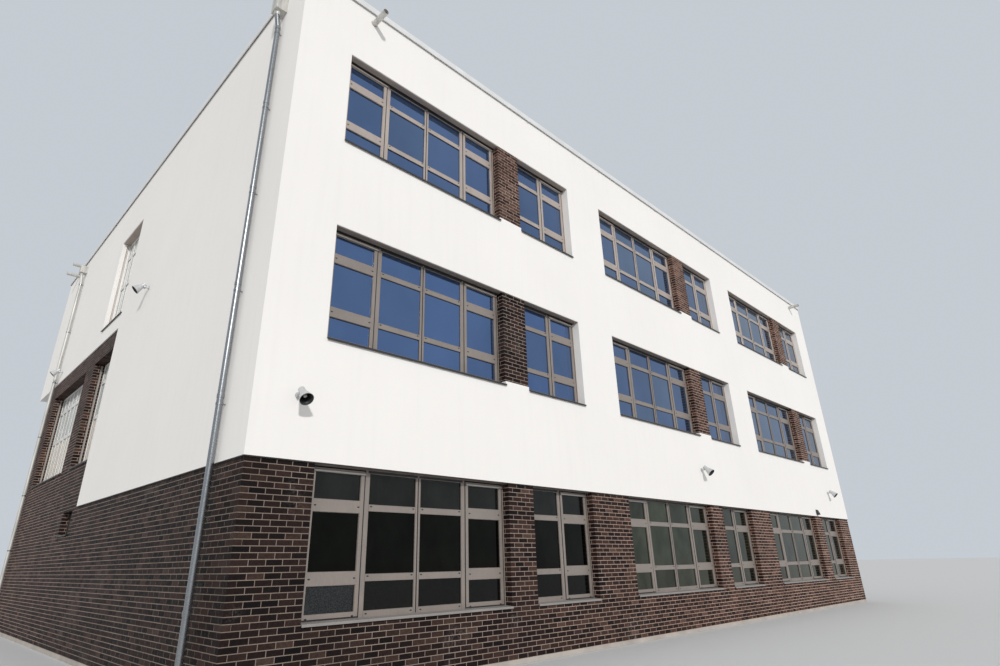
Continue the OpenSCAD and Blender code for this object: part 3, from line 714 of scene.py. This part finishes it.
# the tall side windows: left edge, sill, width, number of lights and depth of the recess
tallWindows = {
    "stair": [(plan["stairY"], plan["tallFirst"], plan["stairW"], 4, plan["deepRecess"]),
              (plan["stairY"], plan["tallSecond"], plan["stairW"], 4, plan["sideRecess"])],
    "hall": [(plan["hallY"], plan["tallFirst"], plan["hallW"], 8, plan["deepRecess"])],
}


def windowRow(wall, sill, height):
    # a window is its wall, left edge, sill, width, opening lights, heights of its rows, bar and depth
    rows = [0, plan["lowTransom"], plan["topTransom"], height]
    return [(wall, x, sill, width, opens, rows, plan["openBar"], plan["recess"])
            for x, width, opens in sorted(rowWindows)]


def tallWindow(wall, x, sill, width, lights, depth):
    rows = [0, plan["tallLow"], plan["tallTop"], plan["tallH"]]
    return (wall, x, sill, width, (False,) * lights, rows, plan["sideBar"], depth)


windows = {name: windowRow("front", *size) for name, size in storeys.items()}
windows["rear"] = [window for wall, size in zip(("rearLow", "rearLow", "rearTop"), storeys.values())
                   for window in windowRow(wall, *size)]
for name, found in tallWindows.items():
    windows[name] = [tallWindow(side, *spot) for side in sides for spot in found]


def panesOf(group):
    # the panes of a group of windows, by wall: x0, x1, z0, z1, 1 where it opens, its row, its depth
    # and the height of the window's head
    byWall = {}
    for wall, x, sill, width, opens, rows, bar, depth in windows[group]:
        wide = width / len(opens)
        for i, opening in enumerate(opens):
            side, rail = (bar, bar * windowKit["rail"]) if opening else (plan["fixedBar"], plan["fixedBar"])
            left, right = bar if i == 0 else side, bar if i == len(opens) - 1 else side
            headRail = bar * windowKit["headRail"] if opening else plan["headBar"]
            for r, (foot, top) in enumerate(zip(rows, rows[1:])):
                low = foot + (rail if r else bar - windowKit["footLess"])
                high = top - (headRail if top == rows[-1] else rail)
                byWall.setdefault(wall, []).append((
                    x + (i * wide + left), x + ((i + 1) * wide - right), sill + low, sill + high,
                    float(opening), r, depth, sill + rows[-1]))
    return {wall: np.array(table) for wall, table in byWall.items()}


def pillowPanes(table, tones):
    # y = depth -/+ (half thickness + bulge (1 - s squared)(1 - t squared)) for s and t from -1 to 1,
    # with a flat lap under the bars all round
    across = np.array([-1, -1, -0.5, 0, 0.5, 1, 1.0])
    reach = windowKit["lap"] * np.array([-1, -0.4, 0, 0, 0, 0.4, 1.0])
    k, points = len(across), len(across) ** 2
    s, t = (grid.ravel() for grid in np.meshgrid(across, across))
    lapX, lapZ = (grid.ravel() for grid in np.meshgrid(reach, reach))
    x0, x1, z0, z1 = table.T[:4, :, None]
    x = (x0 + x1) / 2 + (x1 - x0) / 2 * s + lapX
    z = (z0 + z1) / 2 + (z1 - z0) / 2 * t + lapZ
    middle = (table[:, 6] + plan["glassIn"] + plan["glassDeep"] / 2)[:, None]
    swell = windowKit["paneHalf"] + windowKit["bulge"] * (1 - s ** 2) * (1 - t ** 2)
    verts = np.concatenate([pointsAt(x, middle + way * swell, z) for way in (-1, 1)], 1).reshape(-1, 3)
    i = np.arange(points).reshape(k, k)
    face = np.stack([i[:-1, :-1], i[:-1, 1:], i[1:, 1:], i[1:, :-1]], -1).reshape(-1, 4)
    rim = np.concatenate([i[0, :], i[1:, -1], i[-1, -2::-1], i[-2:0:-1, 0]])
    after = np.roll(rim, -1)
    band = np.stack([after, rim, rim + points, after + points], 1)
    quads = np.concatenate([face, face[:, ::-1] + points, band])
    return verts, copies(quads, 2 * points, len(table)), np.repeat(tones, 2 * points, 0)


def ringPart(wall, rects, profile):
    # a closed profile of (inset, lift) points carried round each rectangle, mitred at its corners
    inset, lift = np.array(profile).T
    signX, signZ = np.array([1, -1, -1, 1]), np.array([1, 1, -1, -1])
    x = rects[:, [0, 1, 1, 0], None] + signX[:, None] * inset
    z = rects[:, [2, 2, 3, 3], None] + signZ[:, None] * inset
    verts = pointsAt(x, rects[:, 4, None, None] - lift, z).reshape(-1, 3)
    return partOn(wall, verts, copies(closedGrid(4, len(profile)), 4 * len(profile), len(rects)))


def stripPart(wall, x0, x1, depth, z, profile):
    # six (lift, rise) points drawn straight from x0 to x1: y = depth - lift, z = z + rise
    lift, rise = np.array(profile).T
    depth, z = (np.reshape(v, (-1, 1, 1)) for v in (depth, z))
    verts = pointsAt(np.stack([x0, x1], 1)[:, :, None], depth - lift, z + rise).reshape(-1, 3)
    j = np.arange(6)
    nxt = (j + 1) % 6
    quads = np.concatenate([np.stack([j, nxt, nxt + 6, j + 6], 1),
                            [[3, 2, 1, 0], [5, 4, 3, 0], [6, 7, 8, 9], [6, 9, 10, 11]]])
    return partOn(wall, verts, copies(quads, 12, len(x0)))


def blockPart(wall, lows, highs):
    # plain strips and plates between two lists of corners
    return partOn(wall, *plainBodies(np.array(lows, float), np.array(highs, float)))


def capPart(wall, centres, size):
    # a flattened dome: x = a cos v, z = b sin v, lift = c times the cosine of the height angle
    around, rise, lift = turns(8), np.array([[1.0], [0.9], [0.45]]), np.array([[-0.2], [0.55], [1.0]])
    dome = pointsAt(rise * np.cos(around) * size[0], -lift * size[2], rise * np.sin(around) * size[1])
    a = np.arange(8)
    b = (a + 1) % 8
    sideFaces = [np.stack([a + i, b + i, b + i + 8, a + i + 8], 1) for i in (0, 8)]
    top = 16 + np.array([[0, 1, 2, 3], [0, 3, 4, 7], [4, 5, 6, 7]])
    base = np.array([[3, 2, 1, 0], [7, 4, 3, 0], [7, 6, 5, 4]])
    return repeated(wall, dome.reshape(-1, 3), np.concatenate([*sideFaces, top, base]), centres)


# on the ground and upper windows the pane shades are painted reflection: lighter for the farther bays and
# the second floor, each pane a little different
tint = {
    "ground": {"near": 0.05, "nearTop": 0.33, "far": 0.74, "spread": 0.06,
               "frost": 0.9, "film": 0.25, "farFilm": 0.1},
    "side": {"upper": 1.0, "lower": 0.40, "spread": 0.22},
    "upper": {"start": 0.18, "bay": 0.30, "spread": 0.08, "topPane": 0.06, "topRow": 0.16},
}


def paneTones(group, table):
    # first number: shade of the pane, which on the ground and upper windows is painted reflection; second: a
    # chance of its own; third: frosted or boarded
    x0, row, head = table[:, [0, 5, 7]].T
    bay, upper = np.floor((x0 - plan["margin"]) / plan["bayPitch"]), head > plan["secondSill"]
    chance, other = rng.normal(0, 1, len(table)), np.zeros(len(table))
    if group == "ground":
        k = tint["ground"]
        firstLight = x0 < plan["margin"] + plan["fourW"] / 4
        shade = np.where(bay == 0, k["near"] + k["nearTop"] * (row == 2), k["far"]) + k["spread"] * chance
        film = k["frost"] * (row == 0) * firstLight + k["film"] * (row != 1)
        other = np.where(bay == 0, film, k["farFilm"])
    elif group in tallWindows:
        k = tint["side"]
        shade = np.where(upper, k["upper"], k["lower"] + k["spread"] * chance)
        other = ((row == 0) & ~upper) * 1.0
    else:
        k = tint["upper"]
        shade = k["start"] + k["bay"] * bay + k["spread"] * chance
        shade += k["topRow"] * upper - k["topPane"] * (row == 2)
    return np.stack([np.clip(shade, 0, 1), rng.random(len(table)), other, np.ones(len(table))], 1)


# profiles of the trims, as (inset, lift) round a pane or (lift, rise) along a strip
c, out, groove, into = (windowKit[k] for k in ("casement", "casementOut", "groove", "into"))
railH = windowKit["broadRail"] * plan["openBar"]
shape = {
    "bead": [(-0.001, -0.002), (-0.001, 0.002), (0.002, 0.002), (0.004, -0.001), (0.004, -0.020),
             (-0.001, -0.020)],
    "seal": [(0.003, -0.017), (0.008, -0.019), (0.008, -0.0215), (0.003, -0.0215)],
    "casement": [(-c, -0.002), (-c, out - 0.003), (-c + 0.003, out), (-0.003, out), (-0.0005, out - 0.003),
                 (-0.0005, -0.002)],
    "groove": [(-c - groove, -0.001), (-c - groove, 0.005), (-c + 0.001, 0.005), (-c + 0.001, -0.001)],
    "rail": [(-0.002, 0.0), (out - 0.003, 0.0), (out, 0.003), (out, railH - 0.003), (out - 0.003, railH),
             (-0.002, railH)],
    "hood": [(-0.002, -0.046), (0.006, -0.046), (0.035, -0.074), (0.035, -0.098), (0.031, -0.098),
             (-0.002, -0.062)],
    # head, lid and slat are dark strips painted as the shade under the window heads
    "head": [(-0.002, -0.018), (0.006, -0.018), (0.006, -0.040), (0.004, -0.055), (-0.002, -0.055),
             (-0.002, -0.030)],
    "lid": [(-0.002, -0.018), (0.003, -0.018), (0.005, -0.022), (0.005, -0.042), (0.003, -0.0445),
            (-0.002, -0.0445)],
    "slat": [(0.002, -0.026), (0.002, -0.0165), (0.020, -0.0165), (0.052, -0.0165), (0.052, -0.026),
             (0.020, -0.0245)],
}
paneFinish = {"ground": "treeReflectionGlass", "first": "skyReflectionGlass", "second": "skyReflectionGlass", "rear": "skyReflectionGlass",
              "stair": "sideGlass", "hall": "sideGlass"}
# finish, slot and smoothness of the trims, which are made for all windows together
trims = {
    "openingCasements": ("bronze", "bronze_frame", False),
    "glazingBeads": ("bronze", "bronze_frame", False),
    "sideGlazingBeads": ("whiteFrame", "white_frame", False),
    "glassSeals": ("rubber", "dark_metal", False),
    "drainCaps": ("rubber", "dark_metal", True),
    "casementHoods": ("alloy", "light_metal", False),
    # dark strips of painted shade under the heads
    "headShadeStrips": ("dark", "dark_metal", False),
    "frameJoints": ("rubber", "dark_metal", False),
}
made = {name: [] for name in trims}
for group in windows:
    glassParts, tall = [], group in tallWindows
    for wall, table in panesOf(group).items():
        glassParts.append(partOn(wall, *pillowPanes(table, paneTones(group, table))))
        rects = table[:, [0, 1, 2, 3, 6]]
        made["sideGlazingBeads" if tall else "glazingBeads"].append(ringPart(wall, rects, shape["bead"]))
        made["glassSeals"].append(ringPart(wall, rects, shape["seal"]))
        if tall:
            continue
        # an opening light is one frame round its three panes with two broad rails
        light = table[table[:, 4] > 0].reshape(-1, 3, table.shape[1])
        x0, x1, depth, head = light[:, 0, [0, 1, 6, 7]].T
        whole = np.stack([x0, x1, light[:, 0, 2], light[:, 2, 3], depth], 1)
        made["openingCasements"].append(ringPart(wall, whole, shape["casement"]))
        made["frameJoints"].append(ringPart(wall, whole, shape["groove"]))
        for r in (0, 1):
            made["openingCasements"].append(
                stripPart(wall, x0 - into, x1 + into, depth, light[:, r, 3], shape["rail"]))
        made["casementHoods"].append(stripPart(wall, x0 - c, x1 + c, depth, head, shape["hood"]))
        # a dark strip along each opening light's head: painted shade under the head
        made["headShadeStrips"].append(
            stripPart(wall, x0 - c - groove, x1 + c + groove, depth, head, shape["lid"]))
        # a dark head strip over each fixed light, painted shade under the head, and hairlines where its
        # rails butt against the uprights
        fixed = table[table[:, 4] == 0]
        x0, x1, z0, row, depth, head = fixed[:, [0, 1, 2, 5, 6, 7]].T
        rail = np.where(row == 0, plan["openBar"] - windowKit["footLess"], 2 * plan["fixedBar"]) - into
        thin, lift = windowKit["hairline"]
        for at in (x0, x1):
            made["frameJoints"].append(blockPart(
                wall, pointsAt(at - thin, depth - lift, z0 - rail),
                pointsAt(at + thin, depth + into, z0 - into)))
        top, over = row == 2, windowKit["stripOver"]
        made["headShadeStrips"].append(
            stripPart(wall, x0[top] - over, x1[top] + over, depth[top], head[top], shape["head"]))
        # drain caps at both ends of each rail below a pane
        x0, x1, z0, depth = table[:, [0, 1, 2, 6]].T
        opening, railed = table[:, 4].astype(int), (table[:, 5] > 0).astype(int)
        inset = np.array(windowKit["capIn"])[opening]
        drop = np.array(windowKit["capDrop"])[opening, railed]
        centres = pointsAt([x0 + inset, x1 - inset], depth - out * opening, z0 - drop).reshape(-1, 3)
        made["drainCaps"].append(capPart(wall, centres, windowKit["cap"]))
    putPiece(group + "Panes", glassParts, finish[paneFinish[group]], smooth=True,
             stands=[group + "_window_glass"])

# dark strips under the heads of the upper windows, from jamb to jamb, painted as the shade in the slot under
# the blind covers
left = np.array([x for x, width, opens in rowWindows]) + seat["frame"]
right = np.array([x + width for x, width, opens in rowWindows]) - seat["frame"]
for wall, sill in (("front", "firstSill"), ("front", "secondSill"), ("rearTop", "secondSill")):
    made["headShadeStrips"].append(
        stripPart(wall, left, right, plan["recess"], plan[sill] + plan["windowH"], shape["slat"]))

# folded covers under the heads of the lowest front windows, with shallow ribs along them
cover = {"from": 0.033, "to": 0.189, "ribs": 8, "sheets": (0.009, 0.012), "under": 0.001}
ribs = np.linspace(cover["from"], cover["to"], cover["ribs"] + 1)
coverTop = plan["brickTop"] - cover["under"]
coverLow = [(x, ribs[i], coverTop - cover["sheets"][i % 2]) for x in left for i in range(cover["ribs"])]
coverHigh = [(x, ribs[i + 1], coverTop) for x in right for i in range(cover["ribs"])]
putPiece("lowHeadCovers", [blockPart("front", coverLow, coverHigh)], finish["blind"])

# dark joints where two fixed lights are coupled
for group, found in windows.items():
    thin = windowKit["coupledTall" if group in tallWindows else "coupled"]
    foot, top = windowKit["coupledEnds"]
    for wall, x, sill, width, opens, rows, bar, depth in found:
        pairs = [i for i in range(1, len(opens)) if not opens[i - 1] and not opens[i]]
        if pairs:
            at = x + width / len(opens) * np.array(pairs)
            made["frameJoints"].append(blockPart(
                wall, pointsAt(at - thin, depth - into, sill + foot),
                pointsAt(at + thin, depth + 2 * into, sill + rows[-1] - top)))
for name, (look, slotName, smooth) in trims.items():
    putPiece(name, made[name], finish[look], smooth=smooth)

rails = {
    "wide": 0.028, "deep": 0.042, "ahead": 0.055, "web": 0.004, "flange": 0.006, "foot": 0.05, "head": 0.03,
}


def guideRails(wall):
    # a U-shaped blind guide on each jamb: two flanges and a web, open to the other jamb
    lows, highs = [], []
    web, wide, flange = rails["web"], rails["wide"], rails["flange"]
    for x, sill, width, lights, depth in tallWindows["stair"] + tallWindows["hall"]:
        y1 = depth - rails["ahead"]
        y0, z0, z1 = y1 - rails["deep"], sill + rails["foot"], sill + plan["tallH"] - rails["head"]
        for edge, turn in ((x, 1), (x + width, -1)):
            for a, b, c, d in ((0, web, y0, y1), (web, wide, y0, y0 + flange), (web, wide, y1 - flange, y1)):
                near, far = sorted((edge + turn * a, edge + turn * b))
                lows.append((near, c, z0))
                highs.append((far, d, z1))
    return blockPart(wall, lows, highs)


putPiece("blindGuideRails", [guideRails(side) for side in sides], finish["alloy"])

edging = {"lapEvery": 3.2, "lapWide": 0.07, "lapProud": 0.0025, "sunk": 0.001, "topSunk": 0.0005}


def copingLaps(wall, length):
    # a cover strip over each butt joint of the sheets: face, top and inner face
    at = np.linspace(0, length, round(length / edging["lapEvery"]) + 1)[1:-1]
    half, t, sunk = edging["lapWide"] / 2, edging["lapProud"], edging["sunk"]
    y0, y1 = -plan["copingOut"], plan["wallT"] + plan["copingOut"]
    top = plan["parapetTop"] + plan["sheetT"]
    low, under = top - plan["copingH"], top - edging["topSunk"]
    return [blockPart(wall, pointsAt(at - half, a, z0), pointsAt(at + half, b, z1)) for a, b, z0, z1 in (
        (y0 - t, y0 + sunk, low, under), (y0 - t, y1 + t, under, top + t), (y1 - sunk, y1 + t, low, under))]


lapped = {"front": "length", "rearTop": "length", "left": "upperDepth", "right": "upperDepth"}
lapParts = [part for wall, length in lapped.items() for part in copingLaps(wall, plan[length])]
putPiece("copingLaps", lapParts, finish["coping"])

lampKit = {
    "back": 0.0991, "rise": 0.0749, "tilt": 45.0, "turn": 12.0,
    "from": 0.0905, "to": 0.2695, "radii": (0.0465, 0.1045), "sheet": 0.0012, "steps": 28,
    "frontAt": (0.0272, 0.5183, 0.9287),  # shares of the building's length
    "frontUp": 0.945, "sideUp": 0.366,    # above the top of the bricks
    "beforeStep": 0.782, "beforeRear": 1.25,
}


def linerPart(wall, spots, turn):
    # a thin cone inside each shade: its radius r grows evenly with the way h along its axis. Tilted
    # down by t, (x, y, z) = (r cos v, -back - h cos t + r sin v sin t, rise - h sin t - r sin v cos t),
    # and then turned by a along the wall
    t, a, v = math.radians(lampKit["tilt"]), math.radians(turn), turns(lampKit["steps"])
    h = np.array([lampKit["from"], lampKit["to"], lampKit["to"], lampKit["from"]])[:, None]
    small, large = lampKit["radii"]
    r = np.array([small, large, large - lampKit["sheet"], small - lampKit["sheet"]])[:, None]
    across, rise = r * np.cos(v), r * np.sin(v)
    y = -lampKit["back"] - h * math.cos(t) + rise * math.sin(t)
    z = lampKit["rise"] - h * math.sin(t) - rise * math.cos(t)
    cone = pointsAt(across * math.cos(a) - y * math.sin(a), across * math.sin(a) + y * math.cos(a), z)
    return repeated(wall, cone.reshape(-1, 3), closedGrid(4, lampKit["steps"]), spots)


frontSpots = [(f * plan["length"], 0.0, plan["brickTop"] + lampKit["frontUp"]) for f in lampKit["frontAt"]]
sideSpots = [(y, 0.0, plan["raisedTop"] + lampKit["sideUp"]) for y in (
    plan["stepY"] - plan["tallH"] * lampKit["beforeStep"],
    plan["lowerDepth"] - plan["rearPierW"] * lampKit["beforeRear"])]
# dark cones inside the lamp shades: painted shade of their insides
liners = [linerPart("front", frontSpots, 0.0)]
liners += [linerPart(side, sideSpots, lampKit["turn"]) for side in sides]
putPiece("lampInsideShades", liners, finish["liner"], smooth=True)

eye = {
    "y": 0.920, "z": 1.135, "axis": -0.091, "pipe": 0.059,  # where the pipe stands, and its radius
    "ring": 0.030, "wire": 0.005, "sunk": 0.004, "steps": 24, "sides": 8,
}


def eyePart(wall):
    # a ring beside the pipe: x = (R + r cos w) cos v, z = (R + r cos w) sin v, y = r sin w
    v, w = np.meshgrid(turns(eye["steps"]), turns(eye["sides"]), indexing="ij")
    reach = eye["ring"] + eye["wire"] * np.cos(w)
    ring = pointsAt(reach * np.cos(v), eye["wire"] * np.sin(w), reach * np.sin(v)).reshape(-1, 3)
    centre = (eye["y"] + eye["pipe"] + eye["ring"] - eye["sunk"], eye["axis"], eye["z"])
    return repeated(wall, ring, closedGrid(eye["steps"], eye["sides"]), [centre])


putPiece("pipeEyes", [eyePart(side) for side in sides], finish["paleZinc"], smooth=True)

shot = {
    "place": (-16.264, -16.880, 1.640), "turn": 0.7767, "rise": 0.3957, "roll": -0.0192,
    "focal": 595.194, "middle": (482.28, 315.39), "picture": (1000, 666), "film": 36.0, "sees": 2000.0,
}


def turned(across, upwards, backwards, place=(0, 0, 0)):
    # the matrix of a thing whose own axes point these ways
    return Matrix([*zip(across, upwards, backwards, place), (0, 0, 0, 1)])


cosT, sinT = math.cos(shot["turn"]), math.sin(shot["turn"])
cosR, sinR = math.cos(shot["rise"]), math.sin(shot["rise"])
cosRoll, sinRoll = math.cos(shot["roll"]), math.sin(shot["roll"])
ahead = np.array([sinT * cosR, cosT * cosR, sinR])
level = np.array([cosT, -sinT, 0.0])
above = np.cross(level, ahead)
pictureW, pictureH = shot["picture"]
lens = bpy.data.cameras.new("viewLens")
lens.sensor_width = shot["film"]
lens.lens = shot["focal"] * shot["film"] / pictureW
lens.shift_x = (pictureW / 2 - shot["middle"][0]) / pictureW
lens.shift_y = (shot["middle"][1] - pictureH / 2) / pictureW
lens.clip_end = shot["sees"]
camera = intoScene("viewCamera", lens)
camera.matrix_world = turned(cosRoll * level + sinRoll * above, -sinRoll * level + cosRoll * above, -ahead,
                             shot["place"])
bpy.context.scene.camera = camera

studio = {
    "fill": 0.62, "fillColour": (1.0, 1.0, 1.0), "backdrop": (0.56, 0.60, 0.645),
    "sun": 1.93, "sunAngle": 4.0, "sunColour": (1.0, 0.985, 0.96), "toSun": (-0.44, -0.79, 0.43),
    "floor": (0.60, 0.61, 0.62), "floorHalf": 400.0, "floorZ": -0.002,
}
sunData = bpy.data.lights.new("keyLight", "SUN")
sunData.energy = studio["sun"]
sunData.angle = math.radians(studio["sunAngle"])
sunData.color = studio["sunColour"]
toSun = np.array(studio["toSun"]) / np.linalg.norm(studio["toSun"])
sideways = np.cross(up, toSun)
sideways /= np.linalg.norm(sideways)
intoScene("keyLight", sunData).matrix_world = turned(sideways, np.cross(toSun, sideways), toSun)

# the backdrop is what the camera and mirrors see; the fill lights everything else
world = bpy.data.worlds.new("studioWorld")
bpy.context.scene.world = world
world.use_nodes = True
tree = world.node_tree
tree.nodes.clear()
seen = tree.nodes.new("ShaderNodeLightPath").outputs
fill = tree.nodes.new("ShaderNodeBackground")
fill.inputs["Color"].default_value = (*studio["fillColour"], 1)
fill.inputs["Strength"].default_value = studio["fill"]
shown = tree.nodes.new("ShaderNodeBackground")
shown.inputs["Color"].default_value = (*studio["backdrop"], 1)
either = sums("MAXIMUM", sums("MAXIMUM", seen["Is Camera Ray"], seen["Is Glossy Ray"]),
              seen["Is Transmission Ray"])
choose = tree.nodes.new("ShaderNodeMixShader")
feed(choose.inputs, (either, fill.outputs[0], shown.outputs[0]))
feed(tree.nodes.new("ShaderNodeOutputWorld").inputs, [choose.outputs[0]])

floorMesh = bpy.data.meshes.new("studioFloor")
floorCorners = [(x * studio["floorHalf"], y * studio["floorHalf"], studio["floorZ"])
                for x, y in ((-1, -1), (1, -1), (1, 1), (-1, 1))]
floorMesh.from_pydata(floorCorners, [], [(0, 1, 2, 3)])
floorPaint, place = newFinish("floorPaint", 0.9)
floorShader = floorPaint.node_tree.nodes["Principled BSDF"]
floorShader.inputs["Base Color"].default_value = (*studio["floor"], 1)
floorMesh.materials.append(floorPaint)
intoScene("studioFloor", floorMesh)
bpy.context.scene.view_settings.view_transform = "Standard"
print("camera, light and floor set")
